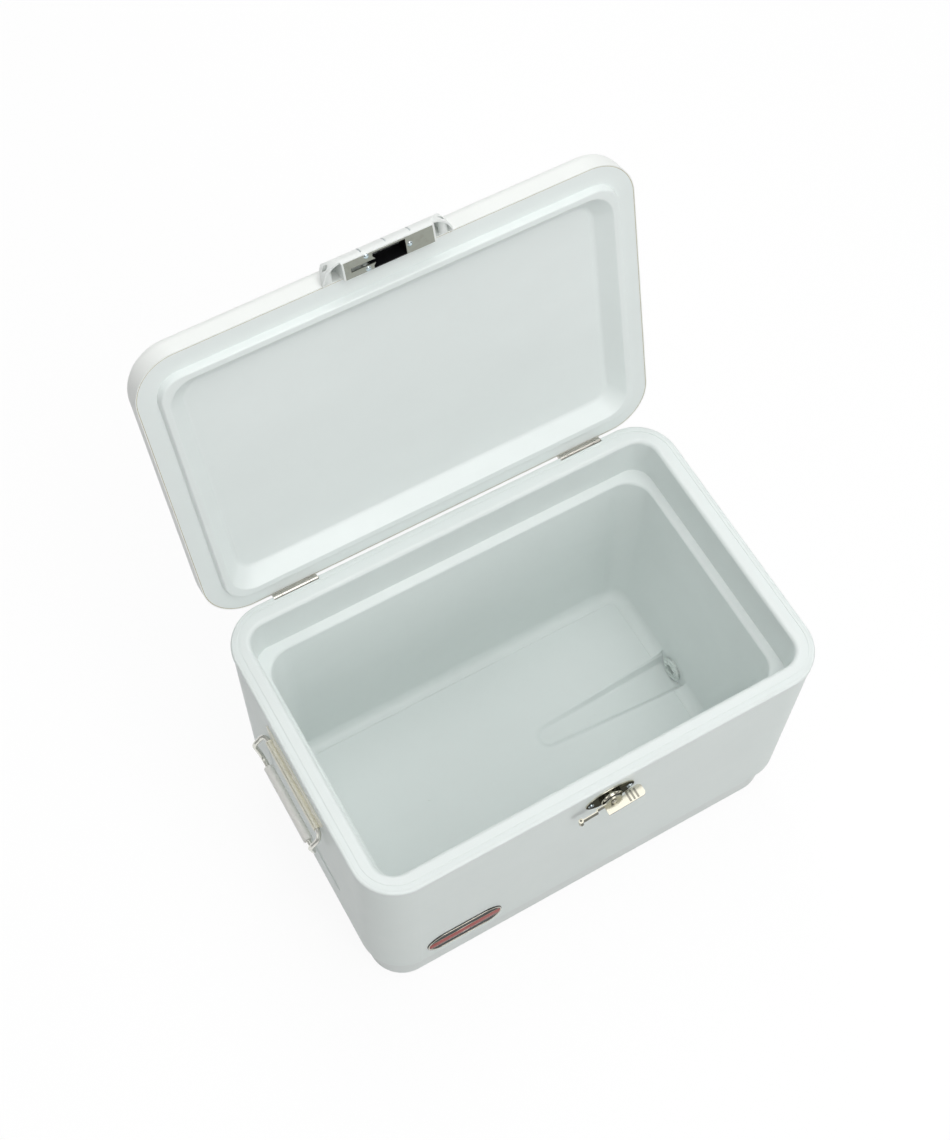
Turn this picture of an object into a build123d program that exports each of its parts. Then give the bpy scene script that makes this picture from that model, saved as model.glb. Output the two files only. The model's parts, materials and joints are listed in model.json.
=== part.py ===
from build123d import *
import os

# A steel-belted picnic cooler with its lid open on the hinge stop.
# Millimetres, +Z up, origin at the middle of the base's underside.
# +X is the drain end, -X the end with the visible handle, -Y the latch side, +Y the hinge side.

# Body outline
body_length = 584.0
body_width = 382.0
corner_radius = 53.0
rim_top = 355.0

# Steel belt
steel_wall = 1.0
belt_inset = 1.0
belt_bottom = 57.0
belt_fold_radius = 18.0
belt_return = 13.0

# Shallow rectangle pressed into each end panel
recess_top_drop = 108.0
recess_bottom_drop = 223.0
recess_half_width = 88.0
recess_depth = 1.4
recess_slope = 2.5
recess_corner = 10.0

# Base pan
base_inset = 10.0
base_wall = 3.0
base_edge_radius = 8.0
foot_width = 24.0
foot_height = 2.0
foot_bar_width = 60.0

# Liner
liner_wall = 2.5
rim_width = 24.0
rim_thickness = 3.0
skirt_height = 6.0
rim_outer_round = 2.7
rim_inner_round = 5.0
rim_groove_from_edge = 7.5
rim_groove_width = 3.0
rim_groove_depth = 0.8
rim_line_from_edge = 4.0
rim_line_width = 0.5
rim_line_depth = 0.4
opening_radius = 25.0
upper_depth = 63.0
upper_draft = 0.6
ledge_width = 10.7
ledge_drop = 4.0
ledge_radius = 32.0
ledge_round = 4.0
floor_depth = 331.0
floor_inset_x = 11.8
floor_inset_y = 15.5
floor_radius = 26.0
floor_round = 15.0
floor_step = 0.8
floor_step_inset = 15.4
channel_start_x = 53.0
channel_start_width = 36.0
channel_start_depth = 2.4
channel_end_width = 56.0
channel_end_depth = 13.2
channel_side = 9.0
channel_profile = ((0.0, 0.0), (0.25, 0.12), (0.5, 0.5), (0.75, 0.88), (1.0, 1.0))
nub_x = 124.0
nub_radius = 3.0
nub_height = 0.8

# Drain
drain_height = 27.4
drain_bore = 15.0
drain_tube_diameter = 20.0
drain_flange_diameter = 33.0
drain_flange_thickness = 2.5
drain_ring_diameter = 25.0
drain_ring_height = 1.6
drain_notches = 8
drain_notch_width = 3.0
gasket_diameter = 29.0
gasket_thickness = 4.5
drain_nut_diameter = 31.0
drain_nut_thickness = 4.0
spout_length = 13.0
cap_diameter = 29.0
cap_length = 13.0
cap_wall = 2.4
cap_ribs = 20
cap_rib_size = 1.2
washer_thickness = 1.5
thread_clearance = 0.3

# Lid
lid_gap = 0.4
lid_inset = 1.0
lid_side = 20.0
lid_edge_radius = 16.0
crown_inset = 22.0
crown_run = 34.0
crown_height = 18.0
crown_corner = 60.0
crown_edge_radius = 25.0
lid_liner_wall = 2.5
lid_seam_chamfer = 0.8
upstand = 14.0
bead_from_edge = 22.5
bead_depth = 8.0
bead_taper = 3.0
bead_round = 2.2
pan_from_edge = 33.2
pan_slope = 17.4
pan_recess = 10.0
pan_radius = 30.0
panel_radius = 20.0
panel_round = 6.0
open_angle = 105.6

# Hinges
hinge_axis_inset = 0.2
hinge_axis_drop = 4.7
hinge_x = 190.0
hinge_width = 56.0
hinge_side_knuckle = 10.0
knuckle_gap = 0.5
barrel_diameter = 8.4
hinge_pin_diameter = 4.4
pin_clearance = 0.08
leaf_thickness = 1.4
body_leaf_height = 30.0
lid_leaf_height = 15.0
barrel_clearance = 0.5
hinge_screw_head = 6.0
hinge_screw_height = 1.6
hinge_screw_spacing = 38.0
hinge_screw_count = 3
leaf_screw_drop = 9.0

# Latch on the body
latch_drop = 34.5
latch_plate_width = 62.0
latch_plate_height = 39.0
latch_plate_thickness = 1.6
latch_plate_round = 0.6
hub_diameter = 27.0
hub_height = 5.6
hub_round = 3.0
latch_screw_x = 24.8
latch_screw_head = 7.0
latch_screw_height = 2.3
lever_gap = 0.3
lever_thickness = 1.8
lever_disc_diameter = 21.0
lever_tilt = 7.6
pad_left = -12.0
pad_right = 36.0
pad_reach = 9.8
pad_drop = 4.6
pad_thickness = 1.8
pad_back = 2.9
pad_back_from = 16.0
pad_end_radius = 4.5
rib_first_x = 17.0
rib_pitch = 4.8
rib_count = 3
rib_width = 2.2
rib_height = 0.9
rib_margin = 1.5
strip_width = 10.4
strip_thickness = 1.2
strip_jog_at = 22.0
curl_reach = 43.0
curl_diameter = 5.8
curl_length = 11.4
curl_bore = 2.6
pivot_diameter = 5.0
pivot_head_diameter = 8.0
pivot_head_height = 1.8
pivot_play = 0.15

# Latch housing on the lid
strike_drop = 8.5
strike_thickness = 1.5
strike_half_length = 50.5
housing_depth = 23.8
housing_lip = 1.0
housing_wall = 2.0
housing_flat_half = 48.0
housing_rise = 24.0
ear_half_length = 75.0
ear_drop = 4.0
housing_clearance = 1.0
housing_groove_pitch = 28.0
housing_groove_width = 1.6
housing_groove_depth = 0.8
housing_groove_bottom = -3.5
housing_groove_top = 14.0
opening_left = -18.5
opening_right = 18.9
opening_front_strip = 1.8
slot_left = -43.5
slot_width = 4.8
slot_tongue = 2.6
slot_tongue_width = 3.0
hook_reach = 11.0
insert_wall = 1.0
insert_fit = 0.2
insert_left = -20.5
insert_right = 20.3
insert_depth = 18.0
insert_return = 4.0
insert_rise = 20.0
strike_screw_head = 6.0
strike_screw_height = 1.5
strike_screw_shank = 3.2
strike_screws_at = ((-25.0, 20.2), (-25.0, 4.6), (23.3, 12.4))
post_diameter = 4.6
ear_screw_x = 66.0
ear_screw_rise = 4.0
ear_boss_diameter = 10.0
ear_screw_head = 6.0
ear_screw_shank = 3.4
ear_screw_seat = 3.0
shank_clearance = 0.1

# End handles
tube_drop = 60.0
tube_wall = 1.4
tube_length = 118.0
tube_seam_width = 0.6
tube_seam_angle = 55.0
bail_wire = 5.6
bail_clearance = 0.08
bail_half_width = 69.8
bail_end_y = 40.0
bulge_out = 15.3
bulge_drop = 15.9
bail_bend_radius = 9.6
grip_out = 9.8
grip_drop = 46.5
grip_line_half = 65.9
grip_length = 101.0
grip_diameter = 11.4
grip_end_round = 1.2
bracket_sheet = 1.4
bracket_rise = 28.0
bracket_top_half = 70.0
bracket_corner = 5.0
bracket_rivet_head = 8.0
bracket_rivet_height = 1.6
bracket_rivet_spacing = 46.0
bracket_rivet_count = 3
bracket_rivet_rise = 17.0

# Badge
badge_x = -181.0
badge_z = 112.0
badge_length = 100.0
badge_height = 46.0
badge_thickness = 1.2
badge_round = 0.5

# Screw heads
cross_arm_share = 0.55
cross_slot_share = 0.13

# How far a cut runs past what it cuts
clear = 1.0

# Derived places
belt_x = body_length / 2 - belt_inset
belt_y = body_width / 2 - belt_inset
belt_top = rim_top - rim_thickness
hinge_axis_y = body_width / 2 - hinge_axis_inset
hinge_axis_z = rim_top - hinge_axis_drop
latch_z = rim_top - latch_drop
lid_base = rim_top + lid_gap
lid_length = body_length - 2 * lid_inset
lid_width = body_width - 2 * lid_inset
lid_y = lid_width / 2
housing_front = lid_y + housing_depth
hook_y = lid_y + hook_reach
tube_bore = bail_wire / 2 + bail_clearance
tube_radius = tube_bore + tube_wall
tube_x = belt_x + tube_radius
tube_z = rim_top - tube_drop
drain_wall_x = body_length / 2 - base_inset
drain_hole_length = rim_width + ledge_width + floor_inset_x + drain_flange_thickness
floor_z = rim_top - floor_depth
floor_low = floor_z - floor_step
strike_z = lid_base - strike_drop


def slab(length, width, radius, bottom, top):
    """Upright block with rounded corners between two heights."""
    return Pos(0, 0, bottom) * extrude(RectangleRounded(length, width, radius), amount=top - bottom)


def funnel(size0, bottom, size1, top):
    """Ruled block between two rounded rectangles, each (length, width, radius)."""
    lower = Pos(0, 0, bottom) * RectangleRounded(*size0)
    upper = Pos(0, 0, top) * RectangleRounded(*size1)
    return loft([lower, upper], ruled=True)


def prism(plane, outline, start, end):
    """Straight block of a flat outline between two distances along a plane's normal."""
    return extrude(plane.offset(start) * outline, amount=end - start, dir=plane.z_dir)


def along_x(radius, x0, x1, y=0.0, z=0.0):
    """Round bar along X."""
    return Pos((x0 + x1) / 2, y, z) * Rot(0, 90, 0) * Cylinder(radius, abs(x1 - x0))


def along_y(radius, y0, y1, x=0.0, z=0.0):
    """Round bar along Y."""
    return Pos(x, (y0 + y1) / 2, z) * Rot(90, 0, 0) * Cylinder(radius, abs(y1 - y0))


def block(x0, x1, y0, y1, z0, z1):
    """Box between two corners."""
    return Pos((x0 + x1) / 2, (y0 + y1) / 2, (z0 + z1) / 2) * Box(x1 - x0, y1 - y0, z1 - z0)


def opened(closed_part):
    """Swings a part drawn on the closed lid to the open stop."""
    to_axis = Pos(0, hinge_axis_y, hinge_axis_z)
    from_axis = Pos(0, -hinge_axis_y, -hinge_axis_z)
    return to_axis * Rot(-open_angle, 0, 0) * from_axis * closed_part


def level_edges(shape, height):
    """Edges that lie flat at one height."""
    return [e for e in shape.edges() if all(abs(v.Z - height) < 0.01 for v in (e @ 0, e @ 0.5, e @ 1))]


def largest(shape):
    """Biggest solid of a cut's result."""
    return max(shape.solids(), key=lambda s: s.volume)


def dome_head(diameter, height):
    """Round screw or rivet head, flat side down on Z=0."""
    radius = (diameter ** 2 / 4 + height ** 2) / (2 * height)
    ball = Pos(0, 0, height - radius) * Sphere(radius)
    return ball & Pos(0, 0, height / 2) * Cylinder(diameter / 2, height)


def cross_cut(diameter, height):
    """Cross recess in the top of a head."""
    arm = diameter * cross_arm_share
    slot = diameter * cross_slot_share
    return Pos(0, 0, height) * (Box(arm, slot, height) + Box(slot, arm, height))


def cross_head(diameter, height):
    """Domed head with a cross recess."""
    return dome_head(diameter, height) - cross_cut(diameter, height)


def belt_block(inset, lower, upper):
    """Body block inside the belt's outside face, with the folded bottom edge."""
    form = slab(2 * (belt_x - inset), 2 * (belt_y - inset), corner_radius - belt_inset - inset, lower, upper)
    return fillet(level_edges(form, lower), belt_fold_radius - inset)


def end_recess(side, grow):
    """Shallow pressed rectangle of one end panel, or the back of its sheet when grown."""
    height = recess_bottom_drop - recess_top_drop + 2 * grow
    width = 2 * (recess_half_width + grow)
    corner = recess_corner + grow
    wide = RectangleRounded(height, width, corner)
    narrow = RectangleRounded(height - 2 * recess_slope, width - 2 * recess_slope, corner - recess_slope)
    form = loft([wide, Pos(0, 0, recess_depth + grow) * narrow], ruled=True)
    middle = rim_top - (recess_top_drop + recess_bottom_drop) / 2
    return Pos(side * belt_x, 0, middle) * Rot(0, -90 * side, 0) * form


def belt_mouth(lower, upper):
    """Opening that the belt's turned-in bottom edge leaves."""
    turned_in = belt_fold_radius + belt_return
    radius = corner_radius - belt_inset - turned_in
    return slab(2 * (belt_x - turned_in), 2 * (belt_y - turned_in), radius, lower, upper)


def belt_core():
    """Everything inside the belt's sheet."""
    core = belt_block(steel_wall, belt_bottom + steel_wall, belt_top)
    return core - end_recess(1, steel_wall) - end_recess(-1, steel_wall)


def hinge_pockets():
    """Room for the hinge barrels in the back edge of rim and belt."""
    reach = barrel_diameter / 2 + barrel_clearance
    half = hinge_width / 2 + barrel_clearance
    cuts = []
    for middle in (-hinge_x, hinge_x):
        x0 = middle - half
        x1 = middle + half
        cuts.append(along_x(reach, x0, x1, hinge_axis_y, hinge_axis_z))
        cuts.append(block(x0, x1, hinge_axis_y - reach, hinge_axis_y + reach, hinge_axis_z, rim_top + clear))
    return Part() + cuts


def body_shell():
    outer = belt_block(0, belt_bottom, belt_top) - end_recess(1, 0) - end_recess(-1, 0)
    mouth = belt_mouth(belt_bottom - clear, belt_bottom + 2 * steel_wall)
    return outer - belt_core() - mouth - hinge_pockets()


def base_block(inset, lower, upper):
    """Base outline less an inset."""
    total = base_inset + inset
    return slab(body_length - 2 * total, body_width - 2 * total, corner_radius - total, lower, upper)


def drain_hole():
    """Bore for the drain tube through liner, foam and base."""
    start = drain_wall_x - drain_hole_length
    return along_x(drain_tube_diameter / 2, start, drain_wall_x + clear, z=drain_height)


def base_pan():
    top = belt_bottom + belt_fold_radius
    outer = fillet(level_edges(base_block(0, 0, top), 0), base_edge_radius)
    inner = base_block(base_wall, base_wall + foot_height, top + clear)
    recess = base_block(foot_width, -clear, foot_height)
    bar_half = foot_bar_width / 2
    recess -= block(-bar_half, bar_half, -belt_y, belt_y, -2 * clear, foot_height + clear)
    return outer - inner - recess - belt_block(0, belt_bottom, belt_top) - drain_hole()


def upper_size(offset, draft):
    """Rounded rectangle of the wide upper cavity."""
    shrink = rim_width + draft - offset
    return (body_length - 2 * shrink, body_width - 2 * shrink, opening_radius + offset)


def ledge_size(offset):
    """Rounded rectangle at the inner edge of the ledge."""
    shrink = rim_width + upper_draft + ledge_width - offset
    return (body_length - 2 * shrink, body_width - 2 * shrink, ledge_radius + offset)


def floor_size(offset):
    """Rounded rectangle of the cavity at the floor."""
    length, width, _ = ledge_size(offset)
    return (length - 2 * floor_inset_x, width - 2 * floor_inset_y, floor_radius + offset)


def channel_depth_at(x):
    """Depth of the drain channel below the floor at a place along it."""
    start = channel_start_x - channel_start_width / 2
    share = (x - start) / (floor_size(0)[0] / 2 - start)
    return channel_start_depth + (channel_end_depth - channel_start_depth) * share


def channel_section(inset, share, offset):
    """Outline of the channel on the sloping plane at one share of its depth."""
    end_x = floor_size(0)[0] / 2 + offset
    half0 = channel_start_width / 2 - inset + offset
    half1 = channel_end_width / 2 - inset + offset
    depth0 = share * channel_depth_at(channel_start_x)
    slope = (share * channel_depth_at(end_x) - depth0) / (end_x - channel_start_x)
    base = Plane(
        origin=(channel_start_x, 0, floor_low - offset - depth0), x_dir=(1, 0, -slope), z_dir=(slope, 0, 1)
    )
    run = (end_x - channel_start_x) * (1 + slope ** 2) ** 0.5
    edges = [
        Line((0, -half0), (run, -half1)), Line((run, -half1), (run, half1)), Line((run, half1), (0, half0)),
        ThreePointArc((0, half0), (-half0, 0), (0, -half0)),
    ]
    return base * make_face(edges)


def channel_block(offset):
    """Drain channel in the floor, wider and deeper towards the drain, with sloping sides."""
    sections = [channel_section(channel_side * part, share, offset) for part, share in channel_profile]
    trough = loft(sections, ruled=True)
    return trough + extrude(sections[0], amount=floor_step + floor_round + offset, dir=(0, 0, 1))


def floor_step_block(offset):
    """Shallow step down to the flat floor, just inside the rounding up to the walls."""
    length, width, radius = floor_size(offset)
    low = floor_step_inset + floor_step
    high = floor_step_inset
    small = (length - 2 * low, width - 2 * low, radius - low)
    large = (length - 2 * high, width - 2 * high, radius - high)
    return funnel(small, floor_low - offset, large, floor_z - offset)


def cavity_block(offset):
    """Inside of the liner, or its outside when offset by the wall."""
    turn = rim_top - upper_depth - offset
    shelf = turn - ledge_drop
    floor = floor_z - offset
    upper = funnel(upper_size(offset, upper_draft), turn, upper_size(offset, 0), rim_top)
    ledge = funnel(ledge_size(offset), shelf, upper_size(offset, upper_draft), turn)
    lower = funnel(floor_size(offset), floor, ledge_size(offset), shelf)
    lower = fillet(level_edges(lower, floor), floor_round + offset)
    form = upper + ledge + lower
    form = fillet(level_edges(form, shelf), ledge_round - offset)
    return form + floor_step_block(offset) + channel_block(offset)


def ring_groove(from_edge, width, depth):
    """Shallow groove that runs round the rim's top."""
    far = from_edge + width
    outer = RectangleRounded(
        body_length - 2 * from_edge, body_width - 2 * from_edge, corner_radius - from_edge
    )
    inner = RectangleRounded(body_length - 2 * far, body_width - 2 * far, corner_radius - far)
    return Pos(0, 0, rim_top - depth) * extrude(outer - inner, amount=depth + clear)


def nub(x, floor_height):
    """Small moulded pip on the floor."""
    low = floor_height - liner_wall / 2
    return Pos(x, 0, low) * extrude(Circle(nub_radius), amount=liner_wall / 2 + nub_height)


def liner():
    flange = slab(body_length, body_width, corner_radius, rim_top - skirt_height, rim_top)
    flange = fillet(level_edges(flange, rim_top), rim_outer_round)
    under = slab(2 * belt_x, 2 * belt_y, corner_radius - belt_inset, rim_top - skirt_height, belt_top)
    solid = (flange - under + cavity_block(liner_wall)) - cavity_block(0)
    mouth_x, mouth_y, _ = upper_size(0, 0)
    inner = [
        e for e in level_edges(solid, rim_top)
        if abs((e @ 0.5).X) < mouth_x / 2 + 0.1 and abs((e @ 0.5).Y) < mouth_y / 2 + 0.1
    ]
    solid = fillet(inner, rim_inner_round)
    solid -= ring_groove(rim_groove_from_edge, rim_groove_width, rim_groove_depth)
    solid -= ring_groove(rim_line_from_edge, rim_line_width, rim_line_depth)
    solid += nub(-nub_x, floor_low)
    solid += nub(nub_x, floor_low - channel_depth_at(nub_x))
    return solid - drain_hole() - hinge_pockets()


def body_foam():
    neck = belt_mouth(belt_bottom, belt_bottom + steel_wall)
    lower = base_block(base_wall, base_wall + foot_height, belt_bottom)
    return belt_core() + neck + lower - cavity_block(liner_wall) - drain_hole() - hinge_pockets()


def drain_seat_x():
    """Plane that the drain's inner flange bears on, just inside the end wall."""
    return floor_size(0)[0] / 2 - gasket_thickness / 2


def drain_flange():
    seat = drain_seat_x()
    face = seat - drain_flange_thickness
    plate = along_x(drain_flange_diameter / 2, face, seat, z=drain_height)
    plate = fillet(plate.edges().filter_by(GeomType.CIRCLE).sort_by(Axis.X)[0], drain_flange_thickness / 2)
    top = face - drain_ring_height
    part = plate + along_x(drain_ring_diameter / 2, top, face, z=drain_height)
    part -= along_x(drain_tube_diameter / 2, top - clear, seat + clear, z=drain_height)
    tall = drain_ring_diameter / 2
    notch = Pos(0, 0, tall) * Box(2 * drain_ring_height, drain_notch_width, tall)
    for i in range(drain_notches):
        part -= Pos(top, 0, drain_height) * Rot(i * 360 / drain_notches, 0, 0) * notch
    return part


def drain_gasket():
    seat = drain_seat_x()
    far = seat + gasket_thickness + liner_wall
    ring = along_x(gasket_diameter / 2, seat, far, z=drain_height)
    ring -= along_x(drain_tube_diameter / 2, seat - clear, far + clear, z=drain_height)
    return largest(ring & cavity_block(0))


def drain_tube():
    inner_end = drain_seat_x() - drain_flange_thickness
    outer_end = drain_wall_x + spout_length
    tube = along_x(drain_tube_diameter / 2, inner_end, outer_end, z=drain_height)
    return tube - along_x(drain_bore / 2, inner_end - clear, outer_end + clear, z=drain_height)


def drain_nut():
    end = drain_wall_x + drain_nut_thickness
    nut = along_x(drain_nut_diameter / 2, drain_wall_x, end, z=drain_height)
    nut = fillet(nut.edges().filter_by(GeomType.CIRCLE).sort_by(Axis.X)[-1], drain_nut_thickness / 4)
    return nut - along_x(drain_tube_diameter / 2, drain_wall_x - clear, end + clear, z=drain_height)


def cap_start_x():
    """Open end of the closed drain cap."""
    return drain_wall_x + drain_nut_thickness + thread_clearance


def drain_cap():
    start = cap_start_x()
    end = start + cap_length
    cap = along_x(cap_diameter / 2, start, end, z=drain_height)
    cap = fillet(cap.edges().filter_by(GeomType.CIRCLE).sort_by(Axis.X)[-1], cap_wall / 2)
    cap -= along_x(drain_tube_diameter / 2 + thread_clearance, start - clear, end - cap_wall, z=drain_height)
    rib = Pos(0, 0, cap_diameter / 2) * Box(cap_length - 2 * cap_wall, cap_rib_size, cap_rib_size)
    for i in range(cap_ribs):
        cap += Pos((start + end) / 2, 0, drain_height) * Rot(i * 360 / cap_ribs, 0, 0) * rib
    return cap


def cap_washer():
    seat = cap_start_x() + cap_length - cap_wall
    return along_x(drain_tube_diameter / 2, seat - washer_thickness, seat, z=drain_height)


def lid_block(inset):
    """Lid block inside the lid shell's outside face."""
    top = lid_base + lid_side + lid_edge_radius - inset
    radius = corner_radius - belt_inset - inset
    base = slab(lid_length - 2 * inset, lid_width - 2 * inset, radius, lid_base, top)
    base = fillet(level_edges(base, top), lid_edge_radius - inset)
    shrink = crown_inset + inset
    wide = (lid_length - 2 * shrink, lid_width - 2 * shrink, crown_corner - inset)
    narrow = (wide[0] - 2 * crown_run, wide[1] - 2 * crown_run, crown_corner - crown_run - inset)
    crown = funnel(wide, top, narrow, top + crown_height)
    crown = fillet(level_edges(crown, top + crown_height), crown_edge_radius)
    return base + crown


def lid_barrel_relief():
    """Room for the hinge barrels under the lid's back edge."""
    reach = barrel_diameter / 2 + barrel_clearance
    half = hinge_width / 2 + barrel_clearance
    bars = [along_x(reach, x - half, x + half, hinge_axis_y, hinge_axis_z) for x in (-hinge_x, hinge_x)]
    return Part() + bars


def lid_shell():
    return lid_block(0) - lid_block(steel_wall) - lid_barrel_relief()


def bead_block(offset):
    """Bead under the lid that drops inside the rim."""
    far = bead_from_edge + offset
    low = far + bead_taper
    wide = (body_length - 2 * far, body_width - 2 * far, corner_radius - far)
    narrow = (body_length - 2 * low, body_width - 2 * low, corner_radius - low)
    return funnel(narrow, rim_top - bead_depth + offset, wide, lid_base + lid_liner_wall + clear)


def pan_block(offset):
    """Recess inside the bead, with sloping walls up to the flat panel."""
    wide = pan_from_edge - offset
    narrow = wide + pan_slope
    low = (body_length - 2 * wide, body_width - 2 * wide, pan_radius + offset)
    high = (body_length - 2 * narrow, body_width - 2 * narrow, panel_radius + offset)
    top = rim_top + pan_recess + offset
    form = funnel(low, rim_top - bead_depth, high, top)
    form = fillet(level_edges(form, top), panel_round + offset)
    return form + slab(*low, rim_top - 2 * bead_depth, rim_top - bead_depth)


def lid_liner():
    radius = corner_radius - belt_inset - steel_wall
    top = lid_base + upstand
    flange = slab(lid_length - 2 * steel_wall, lid_width - 2 * steel_wall, radius, lid_base, top)
    flange = chamfer(level_edges(flange, lid_base), lid_seam_chamfer)
    outside = flange + bead_block(0) - pan_block(0)
    outside = fillet(level_edges(outside, rim_top - bead_depth), bead_round)
    far = steel_wall + lid_liner_wall
    inner_radius = corner_radius - belt_inset - far
    floor = lid_base + lid_liner_wall
    hollow = slab(lid_length - 2 * far, lid_width - 2 * far, inner_radius, floor, top + clear)
    inside = hollow + bead_block(lid_liner_wall) - pan_block(lid_liner_wall)
    return outside - inside - lid_barrel_relief()


def lid_foam():
    core = lid_block(steel_wall) + bead_block(lid_liner_wall)
    return largest(core - lid_liner() - pan_block(0) - lid_barrel_relief())


def knuckle(x0, x1, clearance):
    """One hinge knuckle with its bore."""
    bar = along_x(barrel_diameter / 2, x0, x1, hinge_axis_y, hinge_axis_z)
    radius = hinge_pin_diameter / 2 + clearance
    return bar - along_x(radius, x0 - clear, x1 + clear, hinge_axis_y, hinge_axis_z)


def leaf_bore(x0, x1):
    """Clears a leaf's plate round the pin, inside the knuckle's wall."""
    radius = (hinge_pin_diameter + barrel_diameter) / 4
    return along_x(radius, x0 - clear, x1 + clear, hinge_axis_y, hinge_axis_z)


def hinge_body_leaf(side):
    """Fixed leaf: two short knuckles and a plate on the belt's back face."""
    left = side * hinge_x - hinge_width / 2
    right = side * hinge_x + hinge_width / 2
    inner_left = left + hinge_side_knuckle
    inner_right = right - hinge_side_knuckle
    low = hinge_axis_z - body_leaf_height
    plate = block(left, right, belt_y, belt_y + leaf_thickness, low, hinge_axis_z)
    room = barrel_diameter / 2 + barrel_clearance
    plate -= along_x(room, inner_left, inner_right, hinge_axis_y, hinge_axis_z)
    plate -= leaf_bore(left, right)
    return plate + knuckle(left, inner_left, 0) + knuckle(inner_right, right, 0)


def hinge_lid_leaf(side):
    """Moving leaf: the long middle knuckle and a plate on the lid's back face."""
    left = side * hinge_x - hinge_width / 2
    right = side * hinge_x + hinge_width / 2
    inner_left = left + hinge_side_knuckle + knuckle_gap
    inner_right = right - hinge_side_knuckle - knuckle_gap
    upper = block(left, right, lid_y, lid_y + leaf_thickness, lid_base, lid_base + lid_leaf_height)
    neck = block(inner_left, inner_right, lid_y, lid_y + leaf_thickness, hinge_axis_z, lid_base)
    neck -= leaf_bore(left, right)
    return upper + neck + knuckle(inner_left, inner_right, pin_clearance)


def hinge_pins():
    half = hinge_width / 2
    ends = (-hinge_x, hinge_x)
    radius = hinge_pin_diameter / 2
    return Compound([along_x(radius, x - half, x + half, hinge_axis_y, hinge_axis_z) for x in ends])


def hinge_screws(face_y, z):
    """Screw heads along one row of leaves."""
    head = Rot(-90, 0, 0) * cross_head(hinge_screw_head, hinge_screw_height)
    heads = []
    for middle in (-hinge_x, hinge_x):
        for i in range(hinge_screw_count):
            x = middle + hinge_screw_spacing * (i / (hinge_screw_count - 1) - 0.5)
            heads.append(Pos(x, face_y, z) * head)
    return Compound(heads)


def latch_plate():
    plate = extrude(Ellipse(latch_plate_width / 2, latch_plate_height / 2), amount=latch_plate_thickness)
    plate = fillet(level_edges(plate, latch_plate_thickness), latch_plate_round)
    hub = Pos(0, 0, latch_plate_thickness) * extrude(Circle(hub_diameter / 2), amount=hub_height)
    hub = fillet(level_edges(hub, latch_plate_thickness + hub_height), hub_round)
    hole = Cylinder(pivot_diameter / 2, 4 * hub_height)
    return Pos(0, -belt_y, latch_z) * Rot(90, 0, 0) * (plate + hub - hole)


def latch_plate_screws():
    head = dome_head(latch_screw_head, latch_screw_height)
    head -= Pos(0, 0, latch_screw_height) * Box(latch_screw_head, latch_screw_head / 8, latch_screw_height)
    seat = -belt_y - latch_plate_thickness
    return Compound([Pos(x, seat, latch_z) * Rot(90, 0, 0) * head for x in (-latch_screw_x, latch_screw_x)])


def lever_back_y():
    """Back face of the lever's flat plate."""
    return -(belt_y + latch_plate_thickness + hub_height + lever_gap)


def hook_strip():
    """Strip with a step and a curled end, drawn level about the pivot."""
    half = strip_thickness / 2
    inner = lever_back_y() - lever_thickness + half
    outer = -hook_y
    points = [
        (0, inner + half), (-strip_jog_at - half, inner + half), (-strip_jog_at - half, outer + half),
        (-curl_reach, outer + half), (-curl_reach, outer - half), (-strip_jog_at + half, outer - half),
        (-strip_jog_at + half, inner - half), (0, inner - half),
    ]
    band = prism(Plane.XY, Polygon(*points, align=None), -strip_width / 2, strip_width / 2)
    curl = Pos(-curl_reach, -hook_y, 0) * Cylinder(curl_diameter / 2, curl_length)
    bore = Pos(-curl_reach, -hook_y, 0) * Cylinder(curl_bore / 2, curl_length + clear)
    return band + curl - bore


def latch_lever():
    back = lever_back_y()
    front = back - lever_thickness
    top = -pad_drop
    low = top - pad_thickness
    half = lever_disc_diameter / 2
    disc = along_y(half, front, back) + block(-half, half, front, back, low, 0)
    disc -= block(-half - clear, half + clear, front - clear, back + clear, -2 * half, low)
    pad = block(pad_left, pad_right, front - pad_reach, back, low, top)
    pad += block(pad_back_from, pad_right, back, back + pad_back, low, top)
    ends = [e for e in pad.edges().filter_by(Axis.Z) if abs((e @ 0).X - pad_right) < 0.01]
    pad = fillet(ends, pad_end_radius)
    rib_length = pad_reach + lever_thickness + pad_back - 2 * rib_margin
    rib_middle = front - pad_reach + rib_margin + rib_length / 2
    for i in range(rib_count):
        slot = Rot(0, 0, 90) * SlotOverall(rib_length, rib_width)
        outline = Pos(rib_first_x + i * rib_pitch, rib_middle) * slot
        pad += prism(Plane.XY, outline, top, top + rib_height)
    part = disc + pad + hook_strip()
    part -= along_y(pivot_diameter / 2 + pin_clearance, front - clear, back + clear)
    return Pos(0, 0, latch_z) * Rot(0, -lever_tilt, 0) * part


def latch_pivot():
    seat = lever_back_y() - lever_thickness - pivot_play
    shank = along_y(pivot_diameter / 2, seat, -belt_y, z=latch_z)
    return shank + Pos(0, seat, latch_z) * Rot(90, 0, 0) * dome_head(pivot_head_diameter, pivot_head_height)


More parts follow.
